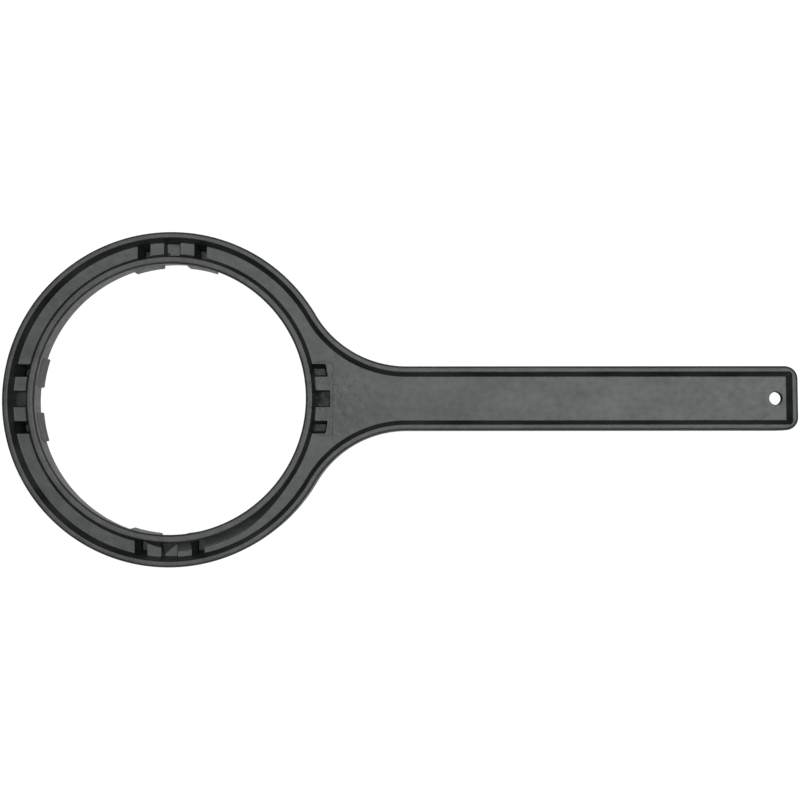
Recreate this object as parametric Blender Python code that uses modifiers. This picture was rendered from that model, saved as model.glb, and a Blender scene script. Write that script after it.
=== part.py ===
"""Ring wrench for the bowl collar of a 10-inch water filter housing: one black plastic moulding.

It lies on its back with the open front up. +X runs along the handle towards the hang hole, +Z is
the ring's axis, and the origin is the centre of the bounding box's bottom face. Sizes are metres.
"""

import math

import bmesh
import bpy
from mathutils import Matrix, Vector

# Overall form
HEIGHT = 0.0160
RING_RADIUS = 0.0741
HANDLE_WIDTH = 0.0285
HANDLE_REACH = 0.2767  # ring axis to the free end
BLEND_RADIUS = 0.0466  # concave arc between ring and handle
END_CORNER_RADIUS = 0.0057
EDGE_CHAMFER = 0.0008

# Web between the front and back recesses
FRONT_DEPTH = 0.0032
WEB_THICKNESS = 0.0030
FRONT_RIM_WIDTH = 0.0027
OUTER_SLOPE = 0.0018  # how far the front recess's outer side leans in
INNER_SLOPE = 0.0015  # the same for its side along the bore's rim
BACK_RIM_WIDTH = 0.0026
BACK_DRAFT = 0.0005
RECESS_CORNER_RADIUS = 0.0014
FOOT_CORNER_RADIUS = 0.0004  # where the front recess's sides meet the web

# Bore and the ring's inner wall
BORE_FRONT_RADIUS = 0.0596
BORE_BACK_RADIUS = 0.0616
LIP_CHAMFER = 0.0008
INNER_RIM_FRONT_RADIUS = 0.0628
INNER_WALL_BACK_RADIUS = 0.0640

# Four clusters, a quarter turn apart: two drive lugs, two deep pockets and a gate well each
CLUSTER_COUNT = 4
LUG_RADIUS = 0.0602
LUG_ROOT_RADIUS = 0.0630
LUG_START = 0.00565  # from the cluster's centre line
LUG_STOP = 0.0186
LUG_HEIGHT = 0.0106
POCKET_INNER_RADIUS = 0.0637
POCKET_OUTER_RADIUS = 0.0700
POCKET_START = 0.0098
POCKET_STOP = 0.0154
POCKET_DRAFT = 0.0011
INNER_DRAFT = 0.0003  # of a pocket's or well's side along the bore's rim
POCKET_FLOOR = 0.0012  # plastic left under a deep pocket
WELL_OUTER_RADIUS = 0.0704
WELL_HALF_WIDTH = 0.00365
WELL_DEPTH = 0.0040  # below the web's front face
WELL_DRAFT = 0.0008
PAD_START = 0.0069
PAD_STOP = 0.0167
PAD_REACH = 0.0716  # how far from the ring axis the handle side's pads run
WELL_FLOOR = 0.0028

# Hang hole
HOLE_RADIUS = 0.0029
HOLE_FROM_END = 0.0090

ARC_STEP = math.radians(4)
ROUND_SEGMENTS = 96
OVERRUN = 0.002  # how far a cutter runs past the face that it opens

TOTAL_LENGTH = RING_RADIUS + HANDLE_REACH
RING_X = RING_RADIUS - TOTAL_LENGTH / 2
WEB_FRONT = HEIGHT - FRONT_DEPTH
WEB_BACK = WEB_FRONT - WEB_THICKNESS

PLASTIC_COLOUR = (0.030, 0.031, 0.030, 1.0)
PLASTIC_ROUGHNESS = 0.42


def clear_scene():
    for obj in list(bpy.data.objects):
        bpy.data.objects.remove(obj, do_unlink=True)


def new_collection(name, hidden=False):
    collection = bpy.data.collections.new(name)
    collection.hide_render = hidden
    bpy.context.scene.collection.children.link(collection)
    return collection


def black_plastic():
    material = bpy.data.materials.new("black_plastic")
    material.use_nodes = True
    shader = material.node_tree.nodes["Principled BSDF"]
    shader.inputs["Base Color"].default_value = PLASTIC_COLOUR
    shader.inputs["Roughness"].default_value = PLASTIC_ROUGHNESS
    shader.inputs["Metallic"].default_value = 0.0
    return material


def object_from(bm, name, collection):
    """An object at the ring's axis, made from bm with its faces turned outwards."""
    bmesh.ops.recalc_face_normals(bm, faces=bm.faces)
    mesh = bpy.data.meshes.new(name)
    bm.to_mesh(mesh)
    bm.free()
    obj = bpy.data.objects.new(name, mesh)
    obj.location.x = RING_X
    collection.objects.link(obj)
    return obj


def arc(centre, radius, start, stop):
    """Points from angle start to angle stop, both included, at even steps of about ARC_STEP."""
    count = max(2, round(abs(stop - start) / ARC_STEP))
    turns = [start + (stop - start) * i / count for i in range(count + 1)]
    return [(centre[0] + radius * math.cos(t), centre[1] + radius * math.sin(t)) for t in turns]


def paddle_outline(inset, corner_radius):
    """The wrench's outline moved in by inset: ring, two blends, and a handle with rounded corners."""
    half_width = HANDLE_WIDTH / 2 - inset
    reach = HANDLE_REACH - inset
    blend_y = HANDLE_WIDTH / 2 + BLEND_RADIUS
    blend_x = math.sqrt((RING_RADIUS + BLEND_RADIUS) ** 2 - blend_y**2)
    blend_radius = BLEND_RADIUS + inset
    tangent = math.atan2(blend_y, blend_x)
    corner = (reach - corner_radius, half_width - corner_radius)
    half = arc(corner, corner_radius, 0, math.pi / 2)
    half += arc((blend_x, blend_y), blend_radius, -math.pi / 2, tangent - math.pi)
    ring = arc((0, 0), RING_RADIUS - inset, tangent, 2 * math.pi - tangent)
    mirrored = [(x, -y) for x, y in reversed(half)]
    return half + ring[1:-1] + mirrored


def add_loft(bm, sections, turn=0.0):
    """A closed solid through sections of (height, outline), each outline with the same number of points."""
    place = Matrix.Rotation(turn, 3, "Z")
    loops = [[bm.verts.new(place @ Vector((x, y, z))) for x, y in outline] for z, outline in sections]
    for lower, upper in zip(loops, loops[1:]):
        for i in range(len(lower)):
            bm.faces.new((lower[i - 1], lower[i], upper[i], upper[i - 1]))
    bm.faces.new(loops[0])
    bm.faces.new(loops[-1])


def add_cone(bm, bottom, top, bottom_radius, top_radius, centre_x=0.0, segments=ROUND_SEGMENTS):
    place = Matrix.Translation((centre_x, 0, (bottom + top) / 2))
    bmesh.ops.create_cone(
        bm,
        cap_ends=True,
        segments=segments,
        radius1=bottom_radius,
        radius2=top_radius,
        depth=top - bottom,
        matrix=place,
    )


def add_box(bm, low, high, turn=0.0):
    size = [b - a for a, b in zip(low, high)]
    centre = [(a + b) / 2 for a, b in zip(low, high)]
    place = Matrix.Rotation(turn, 4, "Z") @ Matrix.Translation(centre) @ Matrix.Diagonal((*size, 1))
    bmesh.ops.create_cube(bm, size=1, matrix=place)


def turned(name, profile, collection):
    """A solid of revolution about the ring's axis; its (radius, height) profile runs from top to bottom."""
    mesh = bpy.data.meshes.new(name)
    points = [(radius, 0, z) for radius, z in profile]
    mesh.from_pydata(points, [(i, i + 1) for i in range(len(points) - 1)], [])
    obj = bpy.data.objects.new(name, mesh)
    obj.location.x = RING_X
    collection.objects.link(obj)
    screw = obj.modifiers.new("Turn", "SCREW")
    screw.steps = ROUND_SEGMENTS
    screw.render_steps = ROUND_SEGMENTS
    screw.use_merge_vertices = True
    screw.merge_threshold = 0.00001
    return obj


def cluster_turns():
    return [2 * math.pi * i / CLUSTER_COUNT for i in range(CLUSTER_COUNT)]


def pocket_outline(start, stop, outer_radius, inset, inner_inset):
    """A pocket between two arcs of the ring and two lines along the cluster's own radius."""
    steps = 4
    across = [start + inset + (stop - start - 2 * inset) * i / steps for i in range(steps + 1)]
    inner = POCKET_INNER_RADIUS + inner_inset
    outer = outer_radius - inset
    near = [(math.sqrt(inner**2 - y**2), y) for y in reversed(across)]
    return [(math.sqrt(outer**2 - y**2), y) for y in across] + near


def boolean(obj, operation, other):
    modifier = obj.modifiers.new(other.name, "BOOLEAN")
    modifier.operation = operation
    modifier.solver = "EXACT"
    modifier.object = other


def blank(collection):
    """The solid paddle with its outer edges broken."""
    bm = bmesh.new()
    full = paddle_outline(0, END_CORNER_RADIUS)
    broken = paddle_outline(EDGE_CHAMFER, END_CORNER_RADIUS - EDGE_CHAMFER)
    add_loft(bm, [(0, broken), (EDGE_CHAMFER, full), (HEIGHT - EDGE_CHAMFER, full), (HEIGHT, broken)])
    return object_from(bm, "wrench_body", collection)


def bore_cutter(collection):
    """The hole for the filter bowl, wider at the back so that the mould lets go, with a broken front lip."""
    growth = (BORE_BACK_RADIUS - BORE_FRONT_RADIUS) / HEIGHT
    lip_radius = BORE_FRONT_RADIUS + growth * LIP_CHAMFER
    profile = [
        (0, HEIGHT + OVERRUN),
        (lip_radius + LIP_CHAMFER + OVERRUN, HEIGHT + OVERRUN),
        (lip_radius, HEIGHT - LIP_CHAMFER),
        (BORE_BACK_RADIUS + growth * OVERRUN, -OVERRUN),
        (0, -OVERRUN),
    ]
    return turned("bore_cutter", profile, collection)


def front_recess_cutter(collection):
    """The shallow tray in the front, which leaves the outer rim and the inner rim standing."""
    outer_lean = OUTER_SLOPE / FRONT_DEPTH
    inner_lean = INNER_SLOPE / FRONT_DEPTH
    top = HEIGHT + OVERRUN
    bm = bmesh.new()
    add_loft(
        bm,
        [
            (WEB_FRONT, paddle_outline(FRONT_RIM_WIDTH + OUTER_SLOPE, FOOT_CORNER_RADIUS)),
            (top, paddle_outline(FRONT_RIM_WIDTH - outer_lean * OVERRUN, RECESS_CORNER_RADIUS)),
        ],
    )
    cutter = object_from(bm, "front_recess_cutter", collection)
    bm = bmesh.new()
    bottom = WEB_FRONT - OVERRUN
    add_cone(
        bm,
        bottom,
        top + OVERRUN,
        INNER_RIM_FRONT_RADIUS + inner_lean * (HEIGHT - bottom),
        INNER_RIM_FRONT_RADIUS - inner_lean * 2 * OVERRUN,
    )
    boolean(cutter, "DIFFERENCE", object_from(bm, "inner_rim_front", collection))
    return cutter


def back_recess_cutter(collection):
    """The deep channel in the back. It leaves the ring's inner wall, the pads and the wells' floors."""
    lean = BACK_DRAFT / WEB_BACK
    bm = bmesh.new()
    add_loft(
        bm,
        [
            (-OVERRUN, paddle_outline(BACK_RIM_WIDTH - lean * OVERRUN, RECESS_CORNER_RADIUS)),
            (WEB_BACK, paddle_outline(BACK_RIM_WIDTH + BACK_DRAFT, RECESS_CORNER_RADIUS)),
        ],
    )
    cutter = object_from(bm, "back_recess_cutter", collection)
    bm = bmesh.new()
    add_cone(
        bm,
        -2 * OVERRUN,
        WEB_BACK + OVERRUN,
        INNER_WALL_BACK_RADIUS - lean * 2 * OVERRUN,
        INNER_WALL_BACK_RADIUS + lean * (WEB_BACK + OVERRUN),
    )
    boolean(cutter, "DIFFERENCE", object_from(bm, "inner_wall_back", collection))
    boolean(cutter, "DIFFERENCE", pads(collection))
    boolean(cutter, "DIFFERENCE", well_floors(collection))
    return cutter


def pad_reach(turn):
    """How far out a cluster's pads run: to the outer wall, or to a free end where the handle begins."""
    return PAD_REACH if turn == 0 else RING_RADIUS


def pads(collection):
    """The blocks that hold the deep pockets, flush with the back face."""
    bm = bmesh.new()
    for turn in cluster_turns():
        for side in (-1, 1):
            start, stop = sorted((side * PAD_START, side * PAD_STOP))
            low = (BORE_BACK_RADIUS, start, -2 * OVERRUN)
            add_box(bm, low, (pad_reach(turn), stop, WEB_BACK + OVERRUN), turn)
    return object_from(bm, "pads", collection)


def well_floors(collection):
    """The plastic under the gate wells, between the pads."""
    bottom = WEB_FRONT - WELL_DEPTH - WELL_FLOOR
    bm = bmesh.new()
    for turn in cluster_turns():
        half_width = PAD_START + OVERRUN
        low = (BORE_BACK_RADIUS, -half_width, bottom)
        add_box(bm, low, (pad_reach(turn), half_width, WEB_BACK + OVERRUN), turn)
    return object_from(bm, "well_floors", collection)


def add_pocket(bm, turn, start, stop, outer_radius, floor, draft):
    """A drafted pocket cutter, whose sizes are those at the web's front face."""
    top = HEIGHT + OVERRUN
    rise = (top - WEB_FRONT) / (WEB_FRONT - floor)
    bottom = pocket_outline(start, stop, outer_radius, draft, INNER_DRAFT)
    mouth = pocket_outline(start, stop, outer_radius, -draft * rise, -INNER_DRAFT * rise)
    add_loft(bm, [(floor, bottom), (top, mouth)], turn)


def pocket_cutters(collection):
    """Two deep drafted pockets in the front of each cluster."""
    bm = bmesh.new()
    for turn in cluster_turns():
        for start, stop in ((POCKET_START, POCKET_STOP), (-POCKET_STOP, -POCKET_START)):
            add_pocket(bm, turn, start, stop, POCKET_OUTER_RADIUS, POCKET_FLOOR, POCKET_DRAFT)
    return object_from(bm, "pocket_cutters", collection)


def well_cutters(collection):
    """The shallow well at the middle of each cluster, where the plastic was fed in."""
    start, stop = -WELL_HALF_WIDTH, WELL_HALF_WIDTH
    bm = bmesh.new()
    for turn in cluster_turns():
        add_pocket(bm, turn, start, stop, WELL_OUTER_RADIUS, WEB_FRONT - WELL_DEPTH, WELL_DRAFT)
    return object_from(bm, "well_cutters", collection)


def lugs(collection):
    """Eight drive lugs: a thin straight-bored ring, kept only inside the lugs' windows."""
    bm = bmesh.new()
    add_cone(bm, 0, LUG_HEIGHT, LUG_ROOT_RADIUS, LUG_ROOT_RADIUS)
    ring = object_from(bm, "lugs", collection)
    bm = bmesh.new()
    add_cone(bm, -OVERRUN, HEIGHT, LUG_RADIUS, LUG_RADIUS)
    boolean(ring, "DIFFERENCE", object_from(bm, "lug_bore", collection))
    bm = bmesh.new()
    for turn in cluster_turns():
        for side in (-1, 1):
            start, stop = sorted((side * LUG_START, side * LUG_STOP))
            low = (LUG_RADIUS / 2, start, -OVERRUN)
            add_box(bm, low, (RING_RADIUS, stop, HEIGHT), turn)
    boolean(ring, "INTERSECT", object_from(bm, "lug_windows", collection))
    return ring


def hang_hole_cutter(collection):
    bm = bmesh.new()
    hole_x = HANDLE_REACH - HOLE_FROM_END
    add_cone(bm, -OVERRUN, HEIGHT + OVERRUN, HOLE_RADIUS, HOLE_RADIUS, hole_x, 32)
    return object_from(bm, "hang_hole_cutter", collection)


def wrench_body(parts, cutters):
    """The whole moulding: the paddle, less its bore, recesses, pockets and hole, plus the lugs."""
    body = blank(parts)
    body.data.materials.append(black_plastic())
    for make in (bore_cutter, front_recess_cutter, back_recess_cutter, pocket_cutters, well_cutters):
        boolean(body, "DIFFERENCE", make(cutters))
    boolean(body, "UNION", lugs(cutters))
    boolean(body, "DIFFERENCE", hang_hole_cutter(cutters))
    return body


def main():
    clear_scene()
    parts = new_collection("filter_housing_wrench")
    cutters = new_collection("filter_housing_wrench_cutters", hidden=True)
    wrench_body(parts, cutters)
    for cutter in cutters.objects:
        cutter.hide_render = True
        cutter.display_type = "WIRE"


main()
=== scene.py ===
"""Looks of the filter housing ring wrench: one black moulding on a white floor in soft studio light.

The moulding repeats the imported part's form and adds what that solid leaves out: rounded edges, fillets,
a parting line, the apron, the gates' scars and the ejector pins' marks. Sizes are metres. +X runs along
the handle and +Z out of the open front. The moulding's own origin is the centre of its ring's back face.
"""

import math

import bmesh
import bpy
from mathutils import Matrix, Vector


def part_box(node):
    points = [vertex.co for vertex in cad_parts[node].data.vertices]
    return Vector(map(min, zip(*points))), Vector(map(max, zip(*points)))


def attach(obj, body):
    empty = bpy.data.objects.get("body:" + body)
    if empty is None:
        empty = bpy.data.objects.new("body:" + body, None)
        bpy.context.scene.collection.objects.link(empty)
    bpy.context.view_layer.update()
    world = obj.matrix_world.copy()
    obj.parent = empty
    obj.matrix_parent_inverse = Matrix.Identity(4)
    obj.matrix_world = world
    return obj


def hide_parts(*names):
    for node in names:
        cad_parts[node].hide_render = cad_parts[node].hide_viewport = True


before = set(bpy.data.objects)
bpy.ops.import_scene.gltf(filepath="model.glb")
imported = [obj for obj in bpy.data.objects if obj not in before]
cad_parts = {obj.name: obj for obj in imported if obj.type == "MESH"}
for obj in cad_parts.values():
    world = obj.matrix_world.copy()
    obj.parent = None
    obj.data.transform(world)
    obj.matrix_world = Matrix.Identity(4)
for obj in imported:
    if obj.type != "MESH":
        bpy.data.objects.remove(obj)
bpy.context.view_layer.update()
part_low, part_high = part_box("wrench_body")

# Overall form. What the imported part's box gives is read from it.
HEIGHT = part_high.z
RING_RADIUS = (part_high.y - part_low.y) / 2
RING_X = part_low.x + RING_RADIUS
HANDLE_REACH = part_high.x - RING_X
HANDLE_WIDTH = 0.0285
BLEND_RADIUS = 0.0466
END_CORNER_RADIUS = 0.0057

# Web, rims and recesses. Drafts, slopes and roundings are how far a wall leans or an edge is eased.
WEB_FRONT = HEIGHT - 0.0032
WEB_BACK = WEB_FRONT - 0.0030
FRONT_RIM_WIDTH = 0.0027
BACK_RIM_WIDTH = 0.0026
OUTER_SLOPE = 0.0018
INNER_SLOPE = 0.0015
BACK_DRAFT = 0.0005
RECESS_CORNER_RADIUS = 0.0014
FOOT_CORNER_RADIUS = 0.0004
OUTER_DRAFT = 0.00008
PARTING_HEIGHT = WEB_BACK
PARTING_HALF_WIDTH = 0.00012
OUTER_EDGE_ROUND = 0.0012
INNER_EDGE_ROUND = 0.0006
BACK_EDGE_ROUND = 0.0003
FRONT_FILLET = 0.0004
BACK_FILLET = 0.0008
BACK_STEP = 0.00004  # by which the pads and lugs stand back from the rim's back face
WEB_MARGIN = 0.0006  # flat strip of web at the foot of each wall

# Bore
BORE_FRONT_RADIUS = 0.0596
BORE_BACK_RADIUS = 0.0616
LIP_ROUND = 0.0012
INNER_RIM_FRONT_RADIUS = 0.0628
INNER_WALL_BACK_RADIUS = 0.0640

# Apron: the inner rim's slope runs further out at its foot, on one side of the lower cluster
APRON_REACH = 0.0027
APRON_FILLET = 0.0012  # by which the fillet at its foot is larger
KNEE_RISE = 0.0013  # height above the web where the slope turns into the apron
KNEE_REACH = 0.0008
APRON_START = 262  # degrees round the ring
APRON_FULL = 272
APRON_FADE = 294
APRON_STOP = 326

# Four clusters of lugs, pockets and a gate well. Starts, stops and half widths run along the ring.
CLUSTER_COUNT = 4
LUG_RADIUS = 0.0602
LUG_ROOT_RADIUS = 0.0629
LUG_START = 0.00565
LUG_STOP = 0.0186
LUG_HEIGHT = 0.0106
LUG_EDGE_ROUND = 0.0003
LUG_CORNER_RADIUS = 0.0005
POCKET_INNER_RADIUS = 0.0637
POCKET_OUTER_RADIUS = 0.0700
POCKET_START = 0.0098
POCKET_STOP = 0.0154
POCKET_DRAFT = 0.0011
INNER_DRAFT = 0.0003  # of the pockets' and wells' walls next to the bore
POCKET_FLOOR = 0.0012
POCKET_CORNER_RADIUS = 0.0004
POCKET_FILLET = 0.0003
MOUTH_ROUND = 0.00008
WELL_OUTER_RADIUS = 0.0704
WELL_HALF_WIDTH = 0.00365
WELL_FLOOR = WEB_FRONT - 0.0040
WELL_DRAFT = 0.0008
WELL_UNDERSIDE = WELL_FLOOR - 0.0028
PAD_START = 0.0069
PAD_STOP = 0.0167
PAD_REACH = 0.0716  # the free end of the handle side's pads
WALL_MIDDLE = RING_RADIUS - 0.0015  # inside the outer wall, where the other pads end
PLATE_REACH = 0.0717  # of the low plate on the web round the handle side's pockets
PLATE_HALF_WIDTH = 0.0164
PLATE_STEP = 0.00014
PLATE_CORNER_RADIUS = 0.0018

# Cut-off sprue on the wells' floors
STUB_NEAR = POCKET_INNER_RADIUS - 0.0001
STUB_FAR = WELL_OUTER_RADIUS
LEDGE_RADIUS = STUB_NEAR + 0.0013
LEDGE_RISE = 0.0017
CHIP_LENGTH = 0.0008
DENT_RADIUS = 0.0007
DENT_PLACE = (-0.0022, POCKET_INNER_RADIUS + 0.0013)

# Ejector pins' marks on the back of the web: places on the handle, and degrees round the ring
PIN_DEPTH = 0.00012
HANDLE_PIN_RADIUS = 0.0030
RING_PIN_RADIUS = 0.0021
HANDLE_PINS = ((0.005, 0), (0.065, 0), (0.125, 0), (-0.022, 0.0125), (-0.022, -0.0125))
RING_PIN_ANGLES = (45, 112, 158, 202, 248, 315)

# Hang hole
HOLE_RADIUS = 0.0029
HOLE_ROUND = 0.00015
HOLE_CLEARANCE = HOLE_ROUND / 8  # by which its flared edges start clear of the web's faces
HOLE_X = HANDLE_REACH - 0.0090

# Smoothness
RING_STEPS = 216
BLEND_STEPS = 36
HOLE_STEPS = 48
PIN_STEPS = 32
CORNER_STEPS = 10
ROUND_STEPS = 4
SECTOR_STEPS = 4
SHARP_ANGLE = math.radians(35)
OVERRUN = 0.002  # by which cutters and joined pieces pass the faces that they cross

# Plastic: noise scales are per metre, bump depths are metres
DARK_TONE = (0.0048, 0.0052, 0.0057, 1)
PALE_TONE = (0.0235, 0.0248, 0.0255, 1)
GLOSSY = 0.36
DULL = 0.47
RUB_SCALE = 330
FLOW_STRETCH = (0.45, 1, 1)  # the melt drew blotches and waves out along the handle
BLOTCH_SCALE = 95
WAVE_SCALE = 110
WAVE_DEPTH = 0.00045
SWIRL_SCALE = 240
SWIRL_DEPTH = 0.00018
SWIRL_TONE = 0.6
SWIRL_CENTRE = (WELL_OUTER_RADIUS, 0.001, WEB_FRONT)
SWIRL_FULL = 0.003
SWIRL_REACH = 0.028
GRAIN_SCALE = 2200
GRAIN_DEPTH = 0.00003

# Studio
BACKDROP_WHITE = 0.97
FLOOR_HALF_SIZE = 3
FLOOR_DROP = 0.0001
FLOOR_TONE = (0.1, 0.1, 0.1, 1)
FLOOR_ROUGHNESS = 0.9
FLOOR_GLOW = 0.6
PAINTED_SHADOW_RADIUS = 0.012  # painted shadow: under the hang hole the floor gives no glow as a light, as if the handle shaded it
PAINTED_SHADOW_REACH = 0.020
WALL_GLOW = 0.035
LAMP_COLOUR = (0.965, 1.0, 0.98)
LAMPS = (
    # name, place, target, size, energy
    ("overhead", (-0.05, 0.20, 1.2), (-0.05, 0.20, 0), 1.4, 18.5),
    ("overhead_right", (0.58, 0.10, 1.2), (0.58, 0.10, 0), 0.55, 6.5),
    ("front_fill", (-0.05, -0.95, 0.80), (0, 0, 0), 0.5, 1.8),
)
CAMERA_PLACE = (0.00005, -0.0243, 0.508)
CAMERA_TILT = math.radians(2.739)
CAMERA_ROLL = math.radians(-0.045)
CAMERA_LENS = 50.43
CAMERA_SENSOR = 36


def arc(centre, radius, start, stop, steps):
    turns = [start + (stop - start) * i / steps for i in range(steps + 1)]
    return [(centre[0] + radius * math.cos(t), centre[1] + radius * math.sin(t)) for t in turns]


def circle(centre, radius, steps):
    return arc(centre, radius, 0, 2 * math.pi, steps)[:-1]


def rounded(corners, closed=False):
    """A polyline through (across, up, radius) corners, each corner with a radius turned into an arc."""
    points = [Vector(corner[:2]) for corner in corners]
    result = []
    for i, (x, z, radius) in enumerate(corners):
        at_end = not closed and i in (0, len(corners) - 1)
        if radius == 0 or at_end:
            result.append((x, z))
            continue
        back = (points[i - 1] - points[i]).normalized()
        ahead = (points[(i + 1) % len(points)] - points[i]).normalized()
        half_opening = back.angle(ahead) / 2
        centre = points[i] + (back + ahead).normalized() * radius / math.sin(half_opening)
        first = points[i] + back * radius / math.tan(half_opening) - centre
        last = points[i] + ahead * radius / math.tan(half_opening) - centre
        sweep = first.angle_signed(last)
        for step in range(ROUND_STEPS + 1):
            turn = Matrix.Rotation(-sweep * step / ROUND_STEPS, 2)
            result.append(tuple(centre + turn @ first))
    return result


def corner_radius_at(inset, height):
    """Of the handle's two corners: the outer edge's, the recesses', or the front recess's tighter foot."""
    if inset < OUTER_EDGE_ROUND + 2 * OUTER_DRAFT:
        return END_CORNER_RADIUS - inset
    if height < WEB_FRONT:
        return RECESS_CORNER_RADIUS
    share = max(0, min(1, (inset - FRONT_RIM_WIDTH) / OUTER_SLOPE))
    return RECESS_CORNER_RADIUS + share * (FOOT_CORNER_RADIUS - RECESS_CORNER_RADIUS)


def paddle_outline(inset, height):
    """The wrench's outline moved in by inset: ring, two blends, and a handle with rounded corners."""
    corner_radius = corner_radius_at(inset, height)
    half_width = HANDLE_WIDTH / 2 - inset
    blend_y = HANDLE_WIDTH / 2 + BLEND_RADIUS
    blend_x = math.sqrt((RING_RADIUS + BLEND_RADIUS) ** 2 - blend_y**2)
    tangent = math.atan2(blend_y, blend_x)
    corner = (HANDLE_REACH - inset - corner_radius, half_width - corner_radius)
    half = arc(corner, corner_radius, 0, math.pi / 2, CORNER_STEPS)
    half += arc((blend_x, blend_y), BLEND_RADIUS + inset, -math.pi / 2, tangent - math.pi, BLEND_STEPS)
    ring = arc((0, 0), RING_RADIUS - inset, tangent, 2 * math.pi - tangent, RING_STEPS)
    mirrored = [(x, -y) for x, y in reversed(half)]
    return half + ring[1:-1] + mirrored


def sector_outline(start, stop, inner, outer, corner_radius):
    """Between two arcs of the ring and two lines along the cluster's own radius, with rounded corners."""
    across = [start + (stop - start) * i / SECTOR_STEPS for i in range(SECTOR_STEPS + 1)]
    radii = [corner_radius] + [0] * (SECTOR_STEPS - 1) + [corner_radius]
    far = [(math.sqrt(outer**2 - y**2), y, r) for y, r in zip(across, radii)]
    near = [(math.sqrt(inner**2 - y**2), y, r) for y, r in zip(reversed(across), radii)]
    return rounded(far + near, closed=True)


def loft(bm, outlines):
    """Quads through closed outlines of points in space. Returns the first and the last loop."""
    loops = [[bm.verts.new(point) for point in outline] for outline in outlines]
    for lower, upper in zip(loops, loops[1:]):
        for i in range(len(lower)):
            bm.faces.new((lower[i - 1], lower[i], upper[i], upper[i - 1]))
    return loops[0], loops[-1]


def skin(bm, sections, turn=0.0):
    """Quads through sections of (height, outline). Returns the first and the last loop."""
    place = Matrix.Rotation(turn, 3, "Z")
    return loft(bm, [[place @ Vector((x, y, z)) for x, y in outline] for z, outline in sections])


def add_solid(bm, sections, turn=0.0):
    for loop in skin(bm, sections, turn):
        bm.faces.new(loop)


def object_from(bm, name):
    bmesh.ops.recalc_face_normals(bm, faces=bm.faces)
    mesh = bpy.data.meshes.new(name)
    bm.to_mesh(mesh)
    bm.free()
    obj = bpy.data.objects.new(name, mesh)
    obj.location.x = RING_X
    bpy.context.scene.collection.objects.link(obj)
    return obj


def combine(obj, operation, tool):
    """Joins tool to obj, or cuts it away, and removes the tool."""
    modifier = obj.modifiers.new(tool.name, "BOOLEAN")
    modifier.operation = operation
    modifier.solver = "EXACT"
    modifier.object = tool
    graph = bpy.context.evaluated_depsgraph_get()
    mesh = bpy.data.meshes.new_from_object(obj.evaluated_get(graph))
    obj.modifiers.clear()
    obj.data = mesh
    bpy.data.objects.remove(tool)


def web_fill(bm, height, loops):
    """The flat web between the outer loop and the inner loop."""
    ends = {vert for loop in loops for vert in loop}
    edges = [edge for edge in bm.edges if edge.is_boundary and set(edge.verts) <= ends]
    normal = Vector((0, 0, 1 if height == WEB_FRONT else -1))
    bmesh.ops.triangle_fill(bm, edges=edges, use_beauty=True, normal=normal)


def apron_share(turn):
    """How much of the apron stands here: it rises inside the lower cluster and fades out smoothly."""
    angle = math.degrees(turn)
    rise = max(0, min(1, (angle - APRON_START) / (APRON_FULL - APRON_START)))
    fall = max(0, min(1, (APRON_STOP - angle) / (APRON_STOP - APRON_FADE)))
    return rise * fall * fall * (3 - 2 * fall)


def bore_profile(apron):
    """Section of the inner rim and the bore's wall, front web to back web, as (radius, height) points."""
    foot = INNER_RIM_FRONT_RADIUS + INNER_SLOPE
    knee = foot - INNER_SLOPE * KNEE_RISE / (HEIGHT - WEB_FRONT) + KNEE_REACH * apron
    foot += APRON_REACH * apron
    back_foot = INNER_WALL_BACK_RADIUS + BACK_DRAFT
    return rounded(
        [
            (foot + WEB_MARGIN, WEB_FRONT, 0),
            (foot, WEB_FRONT, FRONT_FILLET + APRON_FILLET * apron),
            (knee, WEB_FRONT + KNEE_RISE, 0),
            (INNER_RIM_FRONT_RADIUS, HEIGHT, INNER_EDGE_ROUND),
            (BORE_FRONT_RADIUS, HEIGHT, LIP_ROUND),
            (BORE_BACK_RADIUS, 0, BACK_EDGE_ROUND),
            (INNER_WALL_BACK_RADIUS, 0, BACK_EDGE_ROUND),
            (back_foot, WEB_BACK, BACK_FILLET),
            (back_foot + BACK_FILLET + WEB_MARGIN, WEB_BACK, 0),
        ]
    )


def blank():
    """The moulding without its clusters and its hole."""
    foot = FRONT_RIM_WIDTH + OUTER_SLOPE
    back_foot = BACK_RIM_WIDTH + BACK_DRAFT
    rim = rounded(
        [
            (foot + WEB_MARGIN, WEB_FRONT, 0),
            (foot, WEB_FRONT, FRONT_FILLET),
            (FRONT_RIM_WIDTH, HEIGHT, INNER_EDGE_ROUND),
            (OUTER_DRAFT, HEIGHT, OUTER_EDGE_ROUND),
            (OUTER_DRAFT / 2, PARTING_HEIGHT + PARTING_HALF_WIDTH, 0),
            (0, PARTING_HEIGHT, 0),
            (OUTER_DRAFT / 2, PARTING_HEIGHT - PARTING_HALF_WIDTH, 0),
            (OUTER_DRAFT, 0, OUTER_EDGE_ROUND),
            (BACK_RIM_WIDTH, 0, BACK_EDGE_ROUND),
            (back_foot, WEB_BACK, BACK_FILLET),
            (back_foot + BACK_FILLET + WEB_MARGIN, WEB_BACK, 0),
        ]
    )
    spokes = []
    for i in range(RING_STEPS):
        turn = 2 * math.pi * i / RING_STEPS
        profile = bore_profile(apron_share(turn))
        spokes.append([(radius * math.cos(turn), radius * math.sin(turn), z) for radius, z in profile])
    bm = bmesh.new()
    outer_front, outer_back = skin(bm, [(z, paddle_outline(inset, z)) for inset, z in rim])
    inner_front, inner_back = loft(bm, list(zip(*spokes)))
    web_fill(bm, WEB_FRONT, (outer_front, inner_front))
    web_fill(bm, WEB_BACK, (outer_back, inner_back))
    return object_from(bm, "wrench_moulding")


def cluster_turns():
    return [2 * math.pi * i / CLUSTER_COUNT for i in range(CLUSTER_COUNT)]


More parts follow.
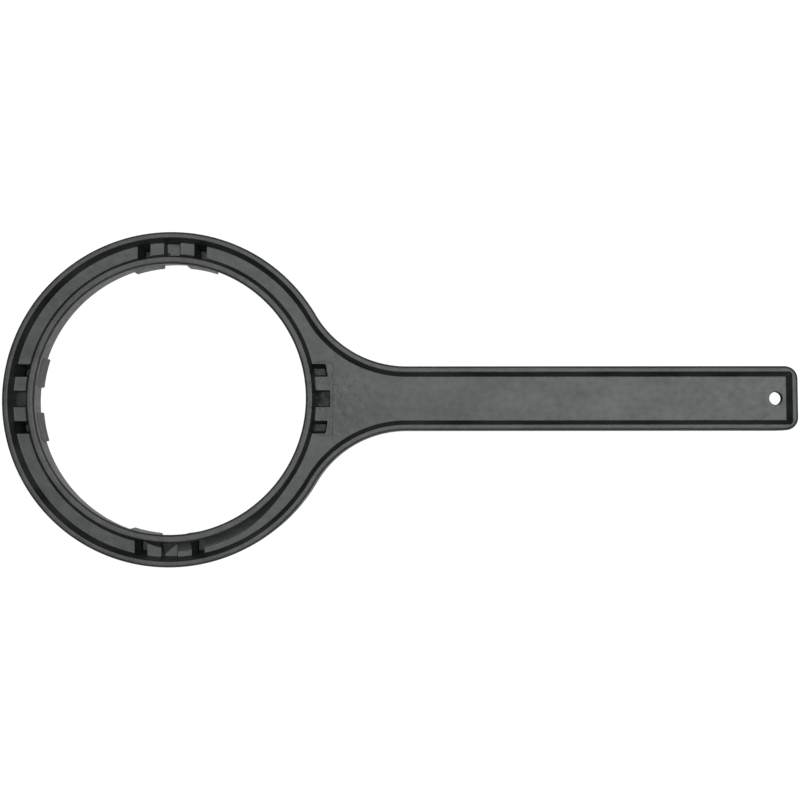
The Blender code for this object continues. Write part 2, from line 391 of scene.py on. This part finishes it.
def sector_sections(profile, start, stop, inner, outer, corner_radius, inner_share=1.0):
    """Sections of a sector that grows by profile's (growth, height) points, less so on its inner side."""
    sections = []
    for grow, z in profile:
        near = inner - grow * inner_share
        sections.append((z, sector_outline(start - grow, stop + grow, near, outer + grow, corner_radius)))
    return sections


def both_sides(start, stop):
    return (start, stop), (-stop, -start)


def pads():
    """The blocks that hold the deep pockets, flush with the back face."""
    profile = rounded(
        [
            (-2 * BACK_EDGE_ROUND, BACK_STEP, 0),
            (0, BACK_STEP, BACK_EDGE_ROUND),
            (OUTER_DRAFT, WEB_BACK + OVERRUN / 2, 0),
        ]
    )
    bm = bmesh.new()
    for turn in cluster_turns():
        outer = PAD_REACH if turn == 0 else WALL_MIDDLE
        for start, stop in both_sides(PAD_START, PAD_STOP):
            sections = sector_sections(profile, start, stop, LUG_ROOT_RADIUS, outer, LUG_EDGE_ROUND)
            add_solid(bm, sections, turn)
    return object_from(bm, "pads")


def well_floors():
    """The plastic under the gate wells, between the pads."""
    half_width = PAD_START + OVERRUN / 2
    bm = bmesh.new()
    for turn in cluster_turns():
        outer = PAD_REACH - BACK_EDGE_ROUND if turn == 0 else WALL_MIDDLE
        profile = ((0, WELL_UNDERSIDE), (0, WEB_BACK + OVERRUN / 2))
        sections = sector_sections(profile, -half_width, half_width, LUG_ROOT_RADIUS, outer, LUG_EDGE_ROUND)
        add_solid(bm, sections, turn)
    return object_from(bm, "well_floors")


def lugs():
    """Eight drive lugs that stand in from the bore's wall."""
    profile = rounded(
        [
            (-2 * LUG_EDGE_ROUND, BACK_STEP, 0),
            (0, BACK_STEP, LUG_EDGE_ROUND),
            (0, LUG_HEIGHT, LUG_EDGE_ROUND),
            (-2 * LUG_EDGE_ROUND, LUG_HEIGHT, 0),
        ]
    )
    bm = bmesh.new()
    for turn in cluster_turns():
        for start, stop in both_sides(LUG_START, LUG_STOP):
            shape = (profile, start, stop, LUG_RADIUS, LUG_ROOT_RADIUS, LUG_CORNER_RADIUS)
            add_solid(bm, sector_sections(*shape), turn)
    return object_from(bm, "lugs")


def plate():
    """The low plate on the web round the handle side's pockets, where the mould has an insert."""
    top = WEB_FRONT + PLATE_STEP
    sections = []
    for inset, z in ((0, top - OVERRUN / 2), (0, WEB_FRONT), (PLATE_STEP, top)):
        far = PLATE_REACH - inset
        side = PLATE_HALF_WIDTH - inset
        near = POCKET_INNER_RADIUS
        corners = [
            (near, -side, 0),
            (far, -side, PLATE_CORNER_RADIUS),
            (far, side, PLATE_CORNER_RADIUS),
            (near, side, 0),
        ]
        sections.append((z, rounded(corners, closed=True)))
    bm = bmesh.new()
    add_solid(bm, sections)
    return object_from(bm, "plate")


def mouth_profile(floor, draft):
    """A drafted pocket with a filleted floor and a barely broken mouth, as (growth, height) points."""
    lean = draft / (WEB_FRONT - floor)
    rise = HEIGHT + OVERRUN - WEB_FRONT
    return rounded(
        [
            (-draft - 2 * POCKET_FILLET, floor, 0),
            (-draft, floor, POCKET_FILLET),
            (0, WEB_FRONT - MOUTH_ROUND, 0),
            (MOUTH_ROUND, WEB_FRONT + MOUTH_ROUND, 0),
            (MOUTH_ROUND + lean * rise, HEIGHT + OVERRUN, 0),
        ]
    )


def add_pocket(bm, turn, span, outer, floor, draft):
    shape = (*span, POCKET_INNER_RADIUS, outer, POCKET_CORNER_RADIUS, INNER_DRAFT / draft)
    add_solid(bm, sector_sections(mouth_profile(floor, draft), *shape), turn)


def pocket_cutters():
    bm = bmesh.new()
    for turn in cluster_turns():
        for span in both_sides(POCKET_START, POCKET_STOP):
            add_pocket(bm, turn, span, POCKET_OUTER_RADIUS, POCKET_FLOOR, POCKET_DRAFT)
    return object_from(bm, "pocket_cutters")


def well_cutters():
    bm = bmesh.new()
    for turn in cluster_turns():
        add_pocket(bm, turn, (-WELL_HALF_WIDTH, WELL_HALF_WIDTH), WELL_OUTER_RADIUS, WELL_FLOOR, WELL_DRAFT)
    return object_from(bm, "well_cutters")


def chip(start, peak, stop, rise):
    return (STUB_NEAR, start, rise), (STUB_NEAR + CHIP_LENGTH, peak, rise), (STUB_NEAR, stop, rise)


def gate_stubs():
    """What was left on the wells' floors when the sprue was cut off: wedges, each cut its own way.

    A wedge's corners are (outward, along the ring, rise above the floor), and its number is its cluster's.
    """
    side = WELL_HALF_WIDTH
    slope = ((STUB_NEAR, -side, 0), (STUB_NEAR, side, 0), (STUB_FAR, side, 0.0025), (STUB_FAR, -side, 0.0027))
    corner = ((STUB_NEAR, side, 0), (STUB_FAR, side, 0.0003), (STUB_FAR - 0.001, 0.0004, 0))
    ledge = (
        (STUB_NEAR, -side, LEDGE_RISE),
        (STUB_NEAR, side, LEDGE_RISE),
        (LEDGE_RADIUS, -side, LEDGE_RISE),
        (LEDGE_RADIUS, side, LEDGE_RISE),
        (STUB_FAR, -side, 0),
        (STUB_FAR, side, 0),
    )
    torn = ((STUB_NEAR, -side, 0.0024), (STUB_NEAR, 0.0034, 0), (STUB_FAR - 0.0012, -side, 0))
    tall_chip = chip(-0.0014, -0.0006, 0.0002, 0.0019)
    low_chip = chip(0.0012, 0.0017, 0.0024, 0.0010)
    wedges = ((0, slope), (1, corner), (2, ledge), (3, torn), (3, tall_chip), (3, low_chip))
    stubs = []
    for quarter, corners in wedges:
        place = Matrix.Rotation(cluster_turns()[quarter], 3, "Z")
        bm = bmesh.new()
        for x, y, rise in corners:
            bm.verts.new(place @ Vector((x, y, WELL_FLOOR + rise)))
            bm.verts.new(place @ Vector((x, y, WELL_FLOOR - OVERRUN / 2)))
        hull = bmesh.ops.convex_hull(bm, input=bm.verts)
        bmesh.ops.delete(bm, geom=hull["geom_interior"], context="VERTS")
        stubs.append(object_from(bm, "gate_stub"))
    return stubs


def gate_dent():
    """Where the cutter dug into the upper well's floor."""
    bm = bmesh.new()
    bmesh.ops.create_icosphere(bm, subdivisions=3, radius=DENT_RADIUS)
    centre = Vector((*DENT_PLACE, WELL_FLOOR + DENT_RADIUS / 2))
    bmesh.ops.translate(bm, vec=centre, verts=bm.verts)
    return object_from(bm, "gate_dent")


def pin_marks():
    """Shallow round marks that the ejector pins left on the back of the web."""
    spots = [(x - RING_X, y, HANDLE_PIN_RADIUS) for x, y in HANDLE_PINS]
    middle = (INNER_WALL_BACK_RADIUS + RING_RADIUS - BACK_RIM_WIDTH) / 2
    for angle in RING_PIN_ANGLES:
        turn = math.radians(angle)
        spots.append((middle * math.cos(turn), middle * math.sin(turn), RING_PIN_RADIUS))
    bm = bmesh.new()
    for x, y, radius in spots:
        outline = circle((x, y), radius, PIN_STEPS)
        add_solid(bm, [(WEB_BACK - OVERRUN, outline), (WEB_BACK + PIN_DEPTH, outline)])
    return object_from(bm, "pin_marks")


def hang_hole_cutter():
    edge = HOLE_ROUND
    profile = rounded(
        [
            (HOLE_RADIUS + 2 * edge, HEIGHT + OVERRUN, 0),
            (HOLE_RADIUS + 2 * edge, WEB_FRONT + HOLE_CLEARANCE, 0),
            (HOLE_RADIUS, WEB_FRONT - edge, edge),
            (HOLE_RADIUS, WEB_BACK + edge, edge),
            (HOLE_RADIUS + 2 * edge, WEB_BACK - HOLE_CLEARANCE, 0),
            (HOLE_RADIUS + 2 * edge, -OVERRUN, 0),
        ]
    )
    bm = bmesh.new()
    add_solid(bm, [(z, circle((HOLE_X, 0), radius, HOLE_STEPS)) for radius, z in profile])
    return object_from(bm, "hang_hole_cutter")


def wrench_moulding():
    body = blank()
    for make in (pads, well_floors, lugs, plate):
        combine(body, "UNION", make())
    for make in (pocket_cutters, well_cutters, hang_hole_cutter):
        combine(body, "DIFFERENCE", make())
    for stub in gate_stubs():
        combine(body, "UNION", stub)
    for make in (gate_dent, pin_marks):
        combine(body, "DIFFERENCE", make())
    body.data.shade_smooth()
    body.data.set_sharp_from_angle(angle=SHARP_ANGLE)
    weighted = body.modifiers.new("weighted_normals", "WEIGHTED_NORMAL")
    weighted.keep_sharp = True
    return body


def add_node(tree, kind, **settings):
    node = tree.nodes.new(kind)
    for name, value in settings.items():
        setattr(node, name, value)
    return node


def noise(tree, position, scale, detail, roughness=0.5):
    node = add_node(tree, "ShaderNodeTexNoise")
    node.inputs["Scale"].default_value = scale
    node.inputs["Detail"].default_value = detail
    node.inputs["Roughness"].default_value = roughness
    tree.links.new(position, node.inputs["Vector"])
    return node.outputs["Fac"]


def stretched(tree, position, scale):
    node = add_node(tree, "ShaderNodeMapping")
    node.inputs["Scale"].default_value = scale
    tree.links.new(position, node.inputs["Vector"])
    return node.outputs["Vector"]


def math_node(tree, operation, first, second):
    node = add_node(tree, "ShaderNodeMath", operation=operation)
    for socket, value in zip(node.inputs, (first, second)):
        if isinstance(value, (int, float)):
            socket.default_value = value
        else:
            tree.links.new(value, socket)
    return node.outputs["Value"]


def spread(tree, value, low, high, start=0.3, stop=0.7):
    """Maps value from start..stop to low..high and holds it there."""
    node = add_node(tree, "ShaderNodeMapRange")
    for name, number in (("From Min", start), ("From Max", stop), ("To Min", low), ("To Max", high)):
        node.inputs[name].default_value = number
    tree.links.new(value, node.inputs["Value"])
    return node.outputs["Result"]


def bump(tree, height, distance, normal=None):
    node = add_node(tree, "ShaderNodeBump")
    node.inputs["Distance"].default_value = distance
    tree.links.new(height, node.inputs["Height"])
    if normal:
        tree.links.new(normal, node.inputs["Normal"])
    return node.outputs["Normal"]


def distance_from(tree, position, place):
    node = add_node(tree, "ShaderNodeVectorMath", operation="DISTANCE")
    node.inputs[1].default_value = place
    tree.links.new(position, node.inputs[0])
    return node.outputs["Value"]


def flow_marks(tree, position):
    """Swirls round the handle side's gate, which die away along the handle."""
    away = distance_from(tree, position, SWIRL_CENTRE)
    swirls = spread(tree, noise(tree, position, SWIRL_SCALE, detail=4, roughness=0.6), -1, 1)
    return math_node(tree, "MULTIPLY", swirls, spread(tree, away, 1, 0, SWIRL_FULL, SWIRL_REACH))


def black_plastic():
    """Black polypropylene with a satin, slightly blotchy moulded surface."""
    material = bpy.data.materials.new("black_plastic")
    material.use_nodes = True
    tree = material.node_tree
    shader = tree.nodes["Principled BSDF"]
    position = add_node(tree, "ShaderNodeTexCoord").outputs["Object"]

    along = stretched(tree, position, FLOW_STRETCH)
    blotches = noise(tree, along, BLOTCH_SCALE, detail=5, roughness=0.55)
    colour = add_node(tree, "ShaderNodeMix", data_type="RGBA")
    colour.inputs["A"].default_value = DARK_TONE
    colour.inputs["B"].default_value = PALE_TONE
    swirls = flow_marks(tree, position)
    smear = math_node(tree, "MULTIPLY", swirls, SWIRL_TONE)
    tone = math_node(tree, "ADD", spread(tree, blotches, 0, 1), smear)
    tree.links.new(tone, colour.inputs["Factor"])
    tree.links.new(colour.outputs["Result"], shader.inputs["Base Color"])

    rubbed = noise(tree, position, RUB_SCALE, detail=3)
    tree.links.new(spread(tree, rubbed, GLOSSY, DULL), shader.inputs["Roughness"])

    waves = noise(tree, along, WAVE_SCALE, detail=4, roughness=0.6)
    waved = bump(tree, waves, WAVE_DEPTH)
    swirled = bump(tree, swirls, SWIRL_DEPTH, waved)
    grain = noise(tree, position, GRAIN_SCALE, detail=3, roughness=0.6)
    grained = bump(tree, grain, GRAIN_DEPTH, swirled)
    tree.links.new(grained, shader.inputs["Normal"])
    return material


def white_to_camera(tree, strength):
    """A backdrop's glow: white to the eye, as a cut-out background is, but of this strength as a light."""
    seen = add_node(tree, "ShaderNodeLightPath").outputs["Is Camera Ray"]
    white = math_node(tree, "MULTIPLY", seen, BACKDROP_WHITE)
    return math_node(tree, "MAXIMUM", white, strength)


def white_floor():
    bm = bmesh.new()
    bmesh.ops.create_grid(bm, x_segments=1, y_segments=1, size=FLOOR_HALF_SIZE)
    mesh = bpy.data.meshes.new("floor")
    bm.to_mesh(mesh)
    bm.free()
    obj = bpy.data.objects.new("floor", mesh)
    obj.location.z = -FLOOR_DROP
    bpy.context.scene.collection.objects.link(obj)
    material = bpy.data.materials.new("white_floor")
    material.use_nodes = True
    tree = material.node_tree
    shader = tree.nodes["Principled BSDF"]
    shader.inputs["Base Color"].default_value = FLOOR_TONE
    shader.inputs["Roughness"].default_value = FLOOR_ROUGHNESS
    shader.inputs["Emission Color"].default_value = (1, 1, 1, 1)
    position = add_node(tree, "ShaderNodeTexCoord").outputs["Object"]
    # Painted shadow: the floor's glow as a light fades out round the spot under the hang hole, while to the
    # camera the floor stays white.
    under_hole = distance_from(tree, position, (RING_X + HOLE_X, 0, 0))
    glow = spread(tree, under_hole, 0, FLOOR_GLOW, PAINTED_SHADOW_RADIUS, PAINTED_SHADOW_REACH)
    tree.links.new(white_to_camera(tree, glow), shader.inputs["Emission Strength"])
    mesh.materials.append(material)


def softbox(name, location, target, size, energy):
    light = bpy.data.lights.new(name, "AREA")
    light.shape = "SQUARE"
    light.size = size
    light.energy = energy
    light.color = LAMP_COLOUR
    obj = bpy.data.objects.new(name, light)
    obj.location = location
    aim = Vector(target) - Vector(location)
    obj.rotation_euler = aim.to_track_quat("-Z", "Y").to_euler()
    bpy.context.scene.collection.objects.link(obj)


def studio():
    world = bpy.data.worlds.new("studio")
    bpy.context.scene.world = world
    world.use_nodes = True
    tree = world.node_tree
    background = tree.nodes["Background"]
    background.inputs["Color"].default_value = (1, 1, 1, 1)
    tree.links.new(white_to_camera(tree, WALL_GLOW), background.inputs["Strength"])
    for lamp in LAMPS:
        softbox(*lamp)
    bpy.context.scene.view_settings.view_transform = "Standard"


def camera():
    data = bpy.data.cameras.new("camera")
    data.lens = CAMERA_LENS
    data.sensor_width = CAMERA_SENSOR
    obj = bpy.data.objects.new("camera", data)
    obj.location = CAMERA_PLACE
    obj.rotation_euler = (CAMERA_TILT, 0, CAMERA_ROLL)
    bpy.context.scene.collection.objects.link(obj)
    bpy.context.scene.camera = obj


body = wrench_moulding()
body.data.materials.append(black_plastic())
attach(body, "root")
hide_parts("wrench_body")
white_floor()
studio()
camera()
